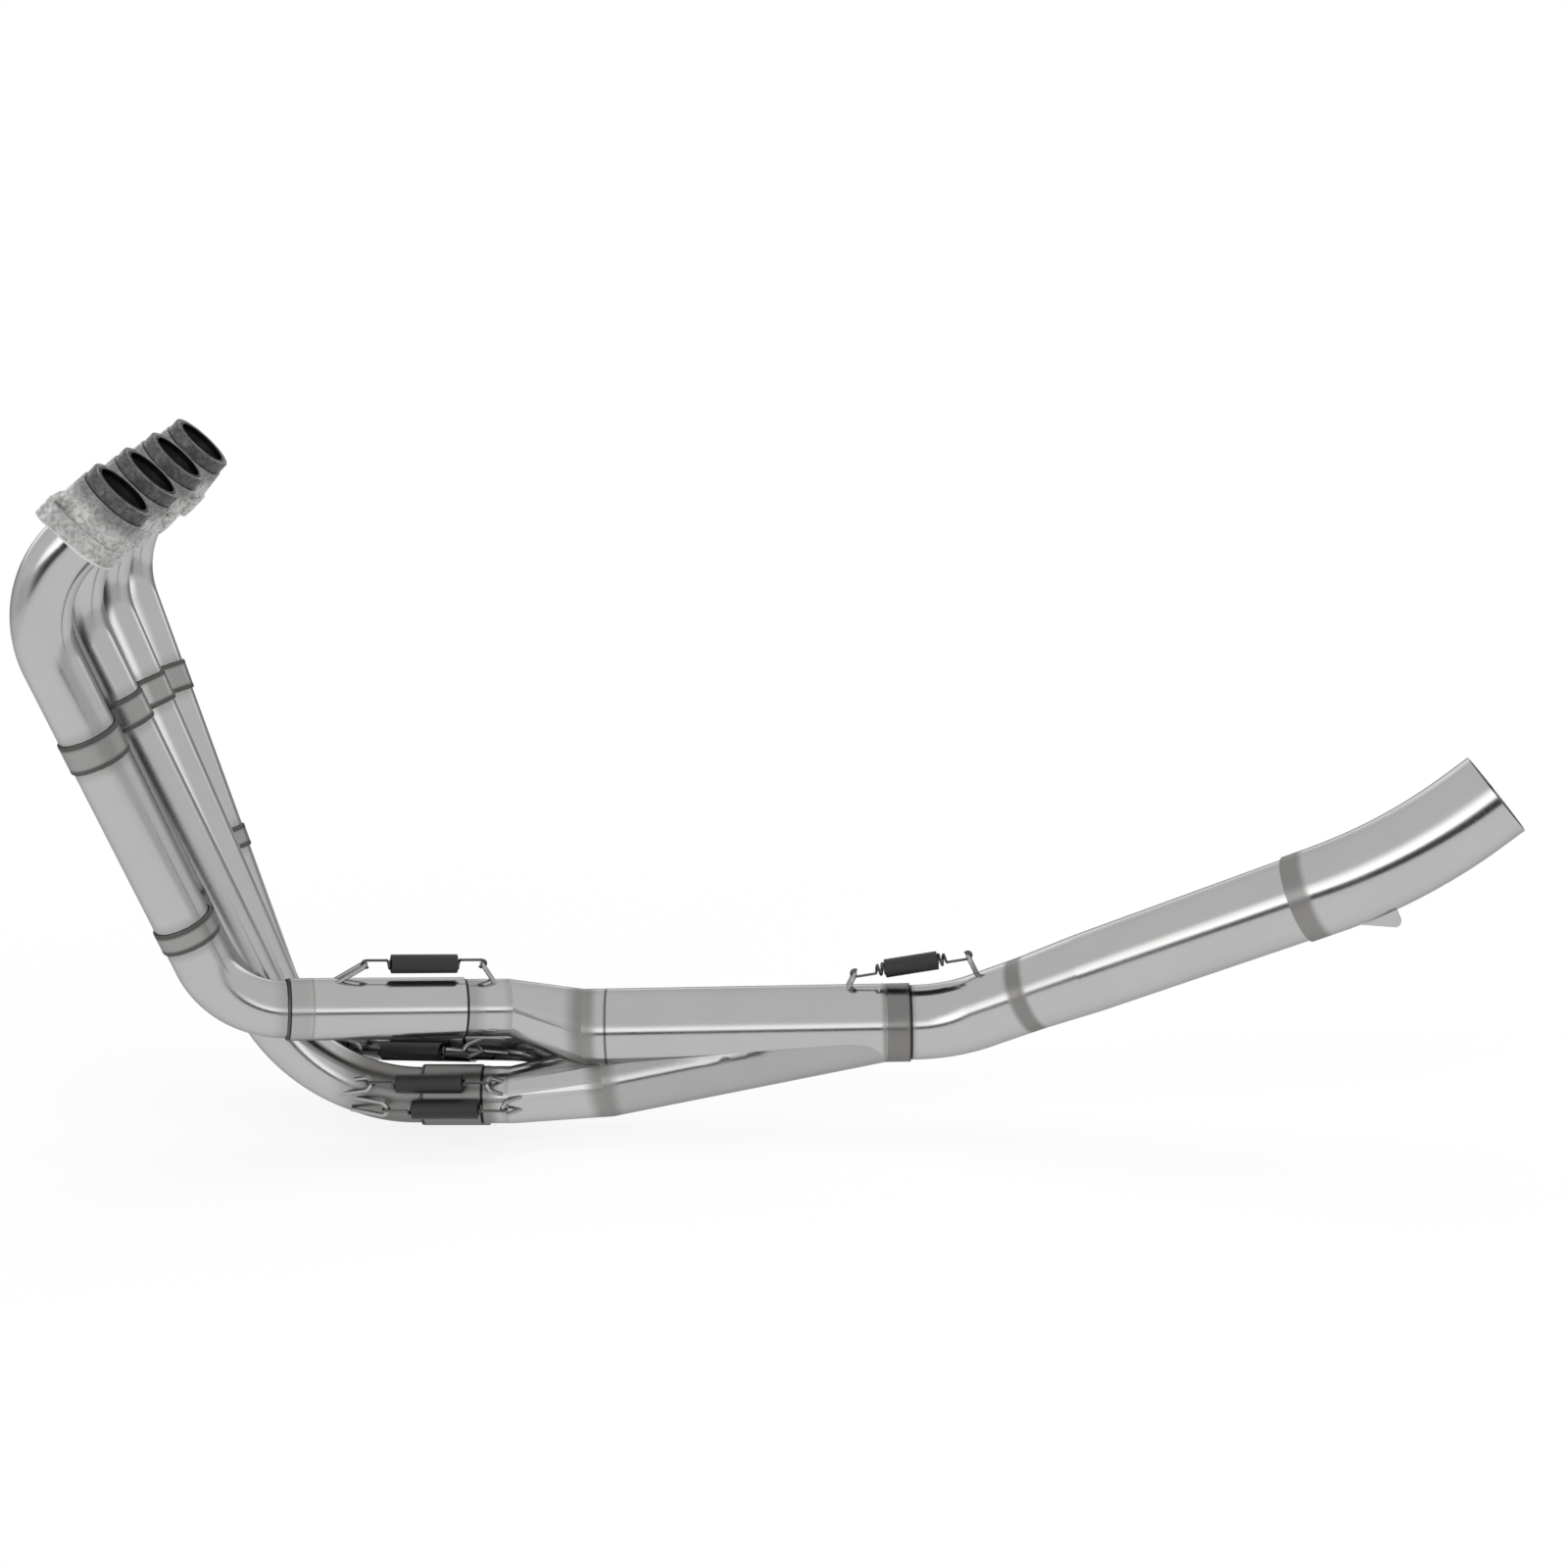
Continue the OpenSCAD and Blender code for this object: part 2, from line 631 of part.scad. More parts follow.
flange(1);  // flange_1
flange(2);  // flange_2
flange(3);  // flange_3
flange(4);  // flange_4
port_ring(1);  // port_ring_1
port_ring(2);  // port_ring_2
port_ring(3);  // port_ring_3
port_ring(4);  // port_ring_4
upper_tube(1);  // upper_tube_1
upper_tube(2);  // upper_tube_2
upper_tube(3);  // upper_tube_3
upper_tube(4);  // upper_tube_4
upper_sleeve(1);  // upper_sleeve_1
upper_sleeve(2);  // upper_sleeve_2
upper_sleeve(3);  // upper_sleeve_3
upper_sleeve(4);  // upper_sleeve_4
middle_tube(1);  // middle_tube_1
middle_tube(4);  // middle_tube_4
lower_sleeve(1);  // lower_sleeve_1
lower_sleeve(4);  // lower_sleeve_4
lower_tube(1);  // lower_tube_1
lower_tube(2);  // lower_tube_2
lower_tube(3);  // lower_tube_3
lower_tube(4);  // lower_tube_4
slip_socket(1);  // slip_socket_1
slip_socket(2);  // slip_socket_2
slip_socket(3);  // slip_socket_3
slip_socket(4);  // slip_socket_4
inlet_tube(1);  // inlet_tube_1
inlet_tube(2);  // inlet_tube_2
inlet_tube(3);  // inlet_tube_3
inlet_tube(4);  // inlet_tube_4
upper_merge();
lower_merge();
upper_secondary();
lower_secondary();
stop_ring();
link_pipe_front();
link_pipe();
tail_pipe();
tail_tab();
spring(1);  // spring_1
spring(2);  // spring_2
spring(3);  // spring_3
spring(4);  // spring_4
spring(5);  // spring_5
spring(6);  // spring_6
rubber_cover(1);  // rubber_cover_1
rubber_cover(2);  // rubber_cover_2
rubber_cover(3);  // rubber_cover_3
rubber_cover(4);  // rubber_cover_4
rubber_cover(5);  // rubber_cover_5
rubber_cover(6);  // rubber_cover_6
spring_lugs(1);  // spring_lugs_1
spring_lugs(2);  // spring_lugs_2
spring_lugs(3);  // spring_lugs_3
spring_lugs(4);  // spring_lugs_4
spring_lugs(5);  // spring_lugs_5
spring_lugs(6);  // spring_lugs_6
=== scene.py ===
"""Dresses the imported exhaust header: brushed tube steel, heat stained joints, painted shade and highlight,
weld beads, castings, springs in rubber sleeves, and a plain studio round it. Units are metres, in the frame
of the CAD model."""

import math
from typing import NamedTuple

import bmesh
import bpy
import numpy as np
from bpy.props import FloatProperty, FloatVectorProperty, IntProperty, PointerProperty
from mathutils import Matrix, Vector, noise


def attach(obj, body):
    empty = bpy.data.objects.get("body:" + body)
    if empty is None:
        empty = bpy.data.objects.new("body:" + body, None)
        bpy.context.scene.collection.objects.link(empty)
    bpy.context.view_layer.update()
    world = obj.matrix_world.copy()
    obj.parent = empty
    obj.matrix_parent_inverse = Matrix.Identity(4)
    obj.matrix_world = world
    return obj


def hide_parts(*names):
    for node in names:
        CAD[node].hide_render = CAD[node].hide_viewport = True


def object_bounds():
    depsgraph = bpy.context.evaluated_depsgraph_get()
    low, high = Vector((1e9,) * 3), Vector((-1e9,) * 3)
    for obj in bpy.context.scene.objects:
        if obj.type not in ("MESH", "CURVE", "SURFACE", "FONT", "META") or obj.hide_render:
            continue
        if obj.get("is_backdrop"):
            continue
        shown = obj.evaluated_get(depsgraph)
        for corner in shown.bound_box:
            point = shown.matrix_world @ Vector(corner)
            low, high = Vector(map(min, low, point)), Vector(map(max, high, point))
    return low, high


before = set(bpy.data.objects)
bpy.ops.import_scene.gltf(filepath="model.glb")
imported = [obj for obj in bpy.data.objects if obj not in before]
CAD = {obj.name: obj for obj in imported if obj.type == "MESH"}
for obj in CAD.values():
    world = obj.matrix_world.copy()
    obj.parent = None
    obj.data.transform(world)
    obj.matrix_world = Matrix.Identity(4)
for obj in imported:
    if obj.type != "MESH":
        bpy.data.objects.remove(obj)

bl_info = {
    "name": "Exhaust Header Dressing",
    "version": (1, 0, 0),
    "blender": (4, 5, 0),
    "location": "3D View > Sidebar > Header",
    "description": "Finishes for a four into one exhaust header",
    "category": "Object",
}

CAD_LOW, CAD_HIGH = (Vector(c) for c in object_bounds())
MIDDLE = (CAD_LOW + CAD_HIGH) / 2

PORTS = (1, 2, 3, 4)
OUTER_TUBES = (1, 4)
INNER_TUBES = (2, 3)
SPRINGS = (1, 2, 3, 4, 5, 6)

REARWARDS = (1.0, 0.0, 0.0)
UPWARDS = (0.0, 0.0, 1.0)

# A node's points this close to its end belong to the end face
END_SLICE = 0.0004

# How far from its centre a band may mark a surface
TUBE_REACH = 0.04
WIDE_REACH = 0.06
COLLECTOR_REACH = 0.08
ROW_REACH = 1.0

# The camera stands this far from the point it aims at
CAMERA_AIM = Vector((0.409, 0.120, -0.218))
CAMERA_DISTANCE = 1.9
SENSOR_WIDTH = 36.0
CLIP = (0.02, 50.0)

FLOOR_HALF = 1.6
FLOOR_GAP = 0.0005
# The floor shines more for the camera and for reflections from the first distance to the second
FLOOR_FADE = (0.45, 1.0)
FLOOR_SHINE = (0.86, 1.0)

# Each lamp's name, place, width and height, and the setting that holds its power
LAMPS = (
    ("overhead_lamp", (MIDDLE.x, MIDDLE.y, 1.9), (2.4, 1.6), "overhead"),
    ("front_lamp", (MIDDLE.x + 0.1, -1.9, 1.45), (3.0, 0.35), "front"),
    ("right_lamp", (2.0, -1.15, 0.15), (0.3, 1.3), "side"),
    ("left_lamp", (-1.2, -1.5, 0.15), (0.3, 1.3), "side"),
    ("back_lamp", (0.9, 2.2, 0.5), (0.3, 1.3), "side"),
)

# The room's reflected strips: sines of the heights where each begins, is full, starts to fade and is gone
DARK_STRIP = (-0.2, -0.16, 0.07, 0.11)
LIGHT_STRIP = (0.08, 0.13, 0.16, 0.42)
TAIL_STRIP = (0.08, 0.14, 0.34, 0.5)
DARK_DEPTH = 0.97

# Sides and steps of a bead's section, and how far its edges are sunk into the tube
BEAD_ROWS = 5
BEAD_STEPS = 3
BEAD_SINK = 0.0003
LEAST_RIPPLES = 24


# ---------------------------------------------------------------- properties


def colour_property(name, description, default):
    return FloatVectorProperty(
        name=name, description=description, default=default, size=3, min=0.0, max=1.0, subtype="COLOR"
    )


def length_property(name, description, default):
    return FloatProperty(name=name, description=description, default=default, min=0.0, unit="LENGTH")


def share_property(name, description, default, high=1.0):
    return FloatProperty(
        name=name, description=description, default=default, min=0.0, max=high, subtype="FACTOR"
    )


def power_property(name, description, default):
    return FloatProperty(name=name, description=description, default=default, unit="POWER")


class HEADER_PG_steel(bpy.types.PropertyGroup):
    """Finish of the tubes"""

    colour: colour_property("Steel", "Colour of the brushed steel", (0.475, 0.475, 0.47))
    roughness: share_property("Roughness", "Roughness of the brushed steel", 0.16)
    # The heat stain colour also paints the shade round the inner tubes' slip joints
    stain: colour_property("Heat stain", "Colour of the steel beside a weld", (0.215, 0.21, 0.205))
    # Painted shade: the near black line drawn into the gaps and at the steps between pieces
    painted_gap_shade: colour_property("Painted gap shade", "Colour of the dark line in a gap between two tubes", (0.03, 0.03, 0.03))
    stain_roughness: share_property("Stain roughness", "Roughness of stained steel", 0.36)
    grain: share_property("Grain", "How much the brushing shows", 0.35)
    limb: share_property("Limb", "Level of the steel where it is seen edge on", 0.55)


class HEADER_PG_welds(bpy.types.PropertyGroup):
    """Size and finish of the weld beads"""

    width: length_property("Width", "Width of a bead", 0.0032)
    height: length_property("Height", "Height of a bead over the tube", 0.0007)
    ripple: length_property("Ripple", "Distance between the ripples of a bead", 0.0015)
    colour: colour_property("Bead", "Colour of a bead", (0.11, 0.107, 0.104))


class HEADER_PG_castings(bpy.types.PropertyGroup):
    """Finish of the flanges and the port rings"""

    colour: colour_property("Casting", "Colour of the cast skin", (0.56, 0.56, 0.55))
    pitting: share_property("Pitting", "Depth of the cast skin", 0.5)
    edge: length_property("Edge", "Rounding of the casting's edges", 0.0012)
    # The port ring colour also paints the shade round each flange's collar
    ring: colour_property("Port ring", "Colour of the port rings", (0.075, 0.075, 0.073))


class HEADER_PG_springs(bpy.types.PropertyGroup):
    """Finish of the springs and their sleeves"""

    wire: colour_property("Wire", "Colour of the spring wire", (0.13, 0.13, 0.126))
    rubber: colour_property("Rubber", "Colour of the rubber sleeves", (0.012, 0.012, 0.0125))
    lip: length_property("Lip", "Rounding of a sleeve's ends", 0.0006)


class HEADER_PG_studio(bpy.types.PropertyGroup):
    """Light, floor and camera"""

    floor: colour_property("Floor", "Colour of the floor", (0.8, 0.8, 0.8))
    room: share_property("Room", "Level of the light that the room gives", 0.62, 4.0)
    wall: share_property("Wall", "Level of the white wall as the metal shows it", 0.88)
    strip: share_property("Light strip", "Level of the light strip over the horizon", 1.05, 4.0)
    flank: share_property("Side light", "Level of the light that the rising tail shows", 0.9, 4.0)
    overhead: power_property("Overhead", "Power of the lamp overhead", 26.0)
    front: power_property("Front", "Power of the long lamp in front", 20.0)
    side: power_property("Side", "Power of each upright lamp", 9.0)
    lens: FloatProperty(name="Lens", description="Focal length in millimetres", default=64.125, min=1.0)
    height: IntProperty(name="Elevation", description="Camera elevation in degrees", default=14)


# ---------------------------------------------------------------- node helpers


def feed(tree, sockets, values):
    """Links each socket to its value, or sets it where the value is a plain one."""
    for socket, value in zip(sockets, values):
        if isinstance(value, bpy.types.NodeSocket):
            tree.links.new(value, socket)
        elif value is not None:
            socket.default_value = value


def opaque(colour):
    """A plain colour with its alpha; a socket stays as it is."""
    return colour if isinstance(colour, bpy.types.NodeSocket) else (*colour[:3], 1.0)


def add_node(tree, kind, **values):
    made = tree.nodes.new(kind)
    for key, value in values.items():
        made.inputs[key].default_value = value
    return made


def maths(tree, operation, first, second=None, third=None):
    made = tree.nodes.new("ShaderNodeMath")
    made.operation = operation
    feed(tree, made.inputs, (first, second, third))
    return made.outputs[0]


def product(tree, first, *others):
    for other in others:
        first = maths(tree, "MULTIPLY", first, other)
    return first


def vector_maths(tree, operation, first, second=None):
    made = tree.nodes.new("ShaderNodeVectorMath")
    made.operation = operation
    feed(tree, made.inputs, (first, second))
    return made.outputs["Value" if operation in {"DOT_PRODUCT", "LENGTH"} else "Vector"]


def blend_colours(tree, share, first, second, mode="MIX"):
    made = tree.nodes.new("ShaderNodeMix")
    made.data_type = "RGBA"
    made.blend_type = mode
    factor, colour_a, colour_b, result = 0, 6, 7, 2
    sockets = [made.inputs[place] for place in (factor, colour_a, colour_b)]
    feed(tree, sockets, (share, opaque(first), opaque(second)))
    return made.outputs[result]


def ramp(tree, value, low, high, out_low=0.0, out_high=1.0, smooth=True):
    made = tree.nodes.new("ShaderNodeMapRange")
    made.interpolation_type = "SMOOTHSTEP" if smooth else "LINEAR"
    sockets = [made.inputs[name] for name in ("Value", "From Min", "From Max", "To Min", "To Max")]
    feed(tree, sockets, (value, low, high, out_low, out_high))
    return made.outputs["Result"]


def grey(tree, level):
    made = tree.nodes.new("ShaderNodeCombineColor")
    for label in ("Red", "Green", "Blue"):
        tree.links.new(level, made.inputs[label])
    return made.outputs[0]


def group_with(name, inputs, outputs):
    """An empty node group with its sockets; the second and third values are its ends."""
    tree = bpy.data.node_groups.new(name, "ShaderNodeTree")
    for label, kind, default in inputs:
        socket = tree.interface.new_socket(name=label, in_out="INPUT", socket_type=kind)
        if default is not None:
            socket.default_value = default
    for label, kind in outputs:
        tree.interface.new_socket(name=label, in_out="OUTPUT", socket_type=kind)
    return tree, tree.nodes.new("NodeGroupInput"), tree.nodes.new("NodeGroupOutput")


def place_group(tree, group, **values):
    made = tree.nodes.new("ShaderNodeGroup")
    made.node_tree = group
    feed(tree, [made.inputs[key.replace("_", " ")] for key in values], values.values())
    return made


FLOAT, VECTOR, COLOUR = "NodeSocketFloat", "NodeSocketVector", "NodeSocketColor"


def ring_band_group():
    """A band round a tube, used for a heat stain, painted shade and a painted highlight: full inside the
    half width, faded out over the fade.
    """
    name = "Ring Stain"
    if name in bpy.data.node_groups:
        return bpy.data.node_groups[name]
    tree, start, end = group_with(
        name,
        [
            ("Position", VECTOR, None),
            ("Centre", VECTOR, None),
            ("Axis", VECTOR, None),
            ("Half Width", FLOAT, 0.005),
            ("Fade", FLOAT, 0.01),
            ("Reach", FLOAT, 0.03),
            ("Wander", FLOAT, 0.0),
        ],
        [("Mask", FLOAT)],
    )
    away = vector_maths(tree, "SUBTRACT", start.outputs["Position"], start.outputs["Centre"])
    along = maths(tree, "ABSOLUTE", vector_maths(tree, "DOT_PRODUCT", away, start.outputs["Axis"]))
    along = maths(tree, "ADD", along, start.outputs["Wander"])
    outer = maths(tree, "ADD", start.outputs["Half Width"], start.outputs["Fade"])
    stain = ramp(tree, along, start.outputs["Half Width"], outer, 1.0, 0.0)
    near = maths(tree, "LESS_THAN", vector_maths(tree, "LENGTH", away), start.outputs["Reach"])
    tree.links.new(product(tree, stain, near), end.inputs["Mask"])
    return tree


def satin_grain_group():
    """Fine grain, wide soft clouds and a faint height for a satin skin."""
    name = "Satin Grain"
    if name in bpy.data.node_groups:
        return bpy.data.node_groups[name]
    tree, start, end = group_with(
        name,
        [
            ("Position", VECTOR, None),
            ("Grain Size", FLOAT, 900.0),
            ("Cloud Size", FLOAT, 28.0),
            ("Amount", FLOAT, 0.3),
        ],
        [("Shade", FLOAT), ("Rough", FLOAT), ("Height", FLOAT)],
    )
    fine = add_node(tree, "ShaderNodeTexNoise", Detail=3.0)
    cloud = add_node(tree, "ShaderNodeTexNoise", Detail=4.0)
    for made, size in ((fine, "Grain Size"), (cloud, "Cloud Size")):
        tree.links.new(start.outputs["Position"], made.inputs["Vector"])
        tree.links.new(start.outputs[size], made.inputs["Scale"])
    mixed = maths(tree, "ADD", product(tree, fine.outputs[0], 0.5), product(tree, cloud.outputs[0], 0.5))
    scaled = product(tree, maths(tree, "SUBTRACT", mixed, 0.5), start.outputs["Amount"])
    tree.links.new(maths(tree, "ADD", product(tree, scaled, 0.5), 1.0), end.inputs["Shade"])
    tree.links.new(product(tree, scaled, 0.4), end.inputs["Rough"])
    tree.links.new(product(tree, fine.outputs[0], start.outputs["Amount"]), end.inputs["Height"])
    return tree


def cast_skin_group():
    """The mottled, slightly pitted skin of a sand casting."""
    name = "Cast Skin"
    if name in bpy.data.node_groups:
        return bpy.data.node_groups[name]
    tree, start, end = group_with(
        name,
        [
            ("Position", VECTOR, None),
            ("Light", COLOUR, (0.5, 0.5, 0.5, 1.0)),
            ("Dark", COLOUR, (0.1, 0.1, 0.1, 1.0)),
            ("Pitting", FLOAT, 0.5),
        ],
        [("Colour", COLOUR), ("Rough", FLOAT), ("Height", FLOAT)],
    )
    blotch = add_node(tree, "ShaderNodeTexNoise", Scale=360.0, Detail=5.0, Roughness=0.6)
    sand = add_node(tree, "ShaderNodeTexNoise", Scale=900.0, Detail=3.0, Roughness=0.6)
    pits = add_node(tree, "ShaderNodeTexVoronoi", Scale=420.0)
    for made in (blotch, sand, pits):
        tree.links.new(start.outputs["Position"], made.inputs["Vector"])
    spots = ramp(tree, pits.outputs["Distance"], 0.08, 0.32)
    patch = ramp(tree, blotch.outputs[0], 0.3, 0.66)
    shade = product(tree, patch, ramp(tree, sand.outputs[0], 0.25, 0.6, 0.72, 1.0))
    colour = blend_colours(tree, shade, start.outputs["Dark"], start.outputs["Light"])
    tree.links.new(colour, end.inputs["Colour"])
    tree.links.new(ramp(tree, shade, 0.0, 1.0, 0.62, 0.42), end.inputs["Rough"])
    height = maths(tree, "ADD", product(tree, spots, 0.5), sand.outputs[0])
    tree.links.new(product(tree, height, start.outputs["Pitting"]), end.inputs["Height"])
    return tree


def new_material(name):
    """A material, its tree, its surface shader and the piece's own coordinates."""
    if name in bpy.data.materials:
        bpy.data.materials.remove(bpy.data.materials[name])
    made = bpy.data.materials.new(name)
    made.use_nodes = True
    tree = made.node_tree
    place = tree.nodes.new("ShaderNodeTexCoord")
    return made, tree, tree.nodes["Principled BSDF"], place.outputs["Object"]


def add_bump(tree, surface, height, strength, distance):
    bump = add_node(tree, "ShaderNodeBump", Strength=strength, Distance=distance)
    tree.links.new(height, bump.inputs["Height"])
    tree.links.new(bump.outputs["Normal"], surface.inputs["Normal"])


# ---------------------------------------------------------------- bands across a tube


class Band(NamedTuple):
    """A mark across an axis: full inside half, gone after the fade, and only within reach of its centre."""

    centre: Vector
    axis: Vector
    half: float
    fade: float
    share: float = 1.0
    reach: float = TUBE_REACH


def band_mask(tree, place, band, stray=None):
    """The share of a band at each point; stray moves its edges a little."""
    wander = 0.0 if stray is None else product(tree, stray, band.fade)
    mark = place_group(
        tree, ring_band_group(), Position=place, Centre=band.centre, Axis=band.axis,
        Half_Width=band.half, Fade=band.fade, Reach=band.reach, Wander=wander,
    )
    return product(tree, mark.outputs["Mask"], band.share)


def strongest_band(tree, place, bands, stray):
    """The strongest of the bands at each point, or None without bands."""
    mask = None
    for band in bands:
        part = band_mask(tree, place, band, stray)
        mask = part if mask is None else maths(tree, "MAXIMUM", mask, part)
    return mask


def steel_material(name, stains_and_painted_shade=(), base=None, roughness=None, painted_gap_shade=()):
    """Brushed steel: the heat stain colour at each stain band, some of which paint shade, and a near black
    line of painted shade at each gap band.
    """
    steel = bpy.context.scene.header_steel
    made, tree, surface, place = new_material(name)
    surface.inputs["Metallic"].default_value = 1.0
    surface.inputs["Specular Tint"].default_value = (steel.limb, steel.limb, steel.limb, 1.0)
    grain = place_group(tree, satin_grain_group(), Position=place, Amount=steel.grain)
    stray = maths(tree, "SUBTRACT", grain.outputs["Shade"], 1.0)
    tint = steel.colour if base is None else base
    dull = steel.roughness if roughness is None else roughness
    # Heat stain bands, and painted shade where a band stands for shade
    heat = strongest_band(tree, place, stains_and_painted_shade, stray)
    if heat is not None:
        tint = blend_colours(tree, heat, tint, steel.stain)
        dull = ramp(tree, heat, 0.0, 1.0, dull, steel.stain_roughness, smooth=False)
    # Painted shade: a near black line in the gaps and at the steps between pieces
    line = strongest_band(tree, place, painted_gap_shade, stray)
    if line is not None:
        tint = blend_colours(tree, line, tint, steel.painted_gap_shade)
    shade = grey(tree, grain.outputs["Shade"])
    tree.links.new(blend_colours(tree, 1.0, tint, shade, "MULTIPLY"), surface.inputs["Base Color"])
    tree.links.new(maths(tree, "ADD", dull, grain.outputs["Rough"]), surface.inputs["Roughness"])
    add_bump(tree, surface, grain.outputs["Height"], 0.12, 0.0001)
    return made


def wear(obj, material):
    obj.data.materials.clear()
    obj.data.materials.append(material)


# ---------------------------------------------------------------- places read from the CAD model


class Ends(NamedTuple):
    """Both end centres of a straight round node, its axis and its outer radius."""

    first: Vector
    last: Vector
    axis: Vector
    radius: float

    @property
    def middle(self):
        return (self.first + self.last) / 2

    @property
    def half(self):
        return (self.last - self.first).length / 2


def points_of(name):
    mesh = CAD[name].data
    flat = np.zeros(len(mesh.vertices) * 3, np.float32)
    mesh.vertices.foreach_get("co", flat)
    return flat.reshape(-1, 3).astype(float)


def middle_of(points):
    return Vector((points.max(0) + points.min(0)) / 2)


def axis_of(name, towards):
    """The axis of a straight round node: the odd one of its three spreads."""
    points = points_of(name)
    spread, ways = np.linalg.eigh(np.cov((points - points.mean(0)).T))
    way = ways[:, 2] if spread[2] - spread[1] > spread[1] - spread[0] else ways[:, 0]
    axis = Vector(way).normalized()
    return -axis if axis.dot(Vector(towards)) < 0 else axis


def ends_of(name, axis=None, towards=REARWARDS):
    points = points_of(name)
    axis = axis or axis_of(name, towards)
    along = points @ np.array(axis)
    front = points[along < along.min() + END_SLICE]
    back = points[along > along.max() - END_SLICE]
    centres = []
    for face, edge in ((front, along.min()), (back, along.max())):
        middle = middle_of(face)
        centres.append(middle + axis * (edge - middle.dot(axis)))
    away = [Vector(p) - centres[0] for p in front]
    radius = max((v - axis * v.dot(axis)).length for v in away)
    return Ends(centres[0], centres[1], axis, radius)


def start_of(name, axis):
    """The middle of the end face where a node starts along an axis."""
    points = points_of(name)
    along = points @ np.array(axis)
    return middle_of(points[along < along.min() + END_SLICE])


# ---------------------------------------------------------------- pieces


def mesh_piece(name, bm, material):
    mesh = bpy.data.meshes.new(name)
    bm.to_mesh(mesh)
    bm.free()
    mesh.shade_smooth()
    made = bpy.data.objects.new(name, mesh)
    bpy.context.scene.collection.objects.link(made)
    wear(made, material)
    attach(made, "root")


def bead_into(bm, centre, axis, radius, welds, seed):
    """A rippled weld bead round a tube, with its edges sunk a little into it."""
    side = axis.orthogonal().normalized()
    up = axis.cross(side)
    steps = BEAD_STEPS * max(LEAST_RIPPLES, int(2 * math.pi * radius / welds.ripple))
    loops = []
    for i in range(steps):
        turn = 2 * math.pi * i / steps
        phase = (i % BEAD_STEPS) / BEAD_STEPS
        swell = 0.72 + 0.28 * math.sin(math.pi * phase + 0.5)
        stray = noise.noise(Vector((math.cos(turn) * 4 + seed, math.sin(turn) * 4, seed * 1.7)))
        out = side * math.cos(turn) + up * math.sin(turn)
        loop = []
        for j in range(BEAD_ROWS + 1):
            a = math.pi * j / BEAD_ROWS
            shift = math.cos(a) * welds.width / 2 * (1 + 0.16 * stray)
            shift += welds.ripple * 0.5 * math.sin(a) * (phase - 0.3)
            lift = math.sin(a) * welds.height * swell * (1 + 0.2 * stray)
            lift -= BEAD_SINK * (j in (0, BEAD_ROWS))
            loop.append(bm.verts.new(centre + axis * shift + out * (radius + lift)))
        loops.append(loop)
    for i in range(steps):
        here, there = loops[i], loops[(i + 1) % steps]
        for j in range(BEAD_ROWS):
            bm.faces.new((here[j], there[j], there[j + 1], here[j + 1]))


def rounded_copy(name, piece_name, width, material):
    """A copy of a CAD node with its sharp edges rounded inwards."""
    made = bpy.data.objects.new(piece_name, CAD[name].data.copy())
    bpy.context.scene.collection.objects.link(made)
    bm = bmesh.new()
    bm.from_mesh(made.data)
    bmesh.ops.remove_doubles(bm, verts=bm.verts, dist=0.00002)
    bmesh.ops.dissolve_limit(bm, angle_limit=math.radians(1.0), verts=bm.verts, edges=bm.edges)
    bm.to_mesh(made.data)
    bm.free()
    bevel = made.modifiers.new("edge", "BEVEL")
    bevel.width, bevel.segments, bevel.limit_method = width, 3, "ANGLE"
    bevel.angle_limit = math.radians(38)
    bevel.use_clamp_overlap = True
    graph = bpy.context.evaluated_depsgraph_get()
    rounded = bpy.data.meshes.new_from_object(made.evaluated_get(graph))
    made.modifiers.clear()
    made.data = rounded
    made.data.shade_smooth()
    made.data.set_sharp_from_angle(angle=math.radians(40))
    wear(made, material)
    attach(made, "root")
    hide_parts(name)


# ---------------------------------------------------------------- studio


def strip_mask(tree, height, marks):
    begins, full, fades, gone = marks
    return product(tree, ramp(tree, height, begins, full), ramp(tree, height, fades, gone, 1.0, 0.0))


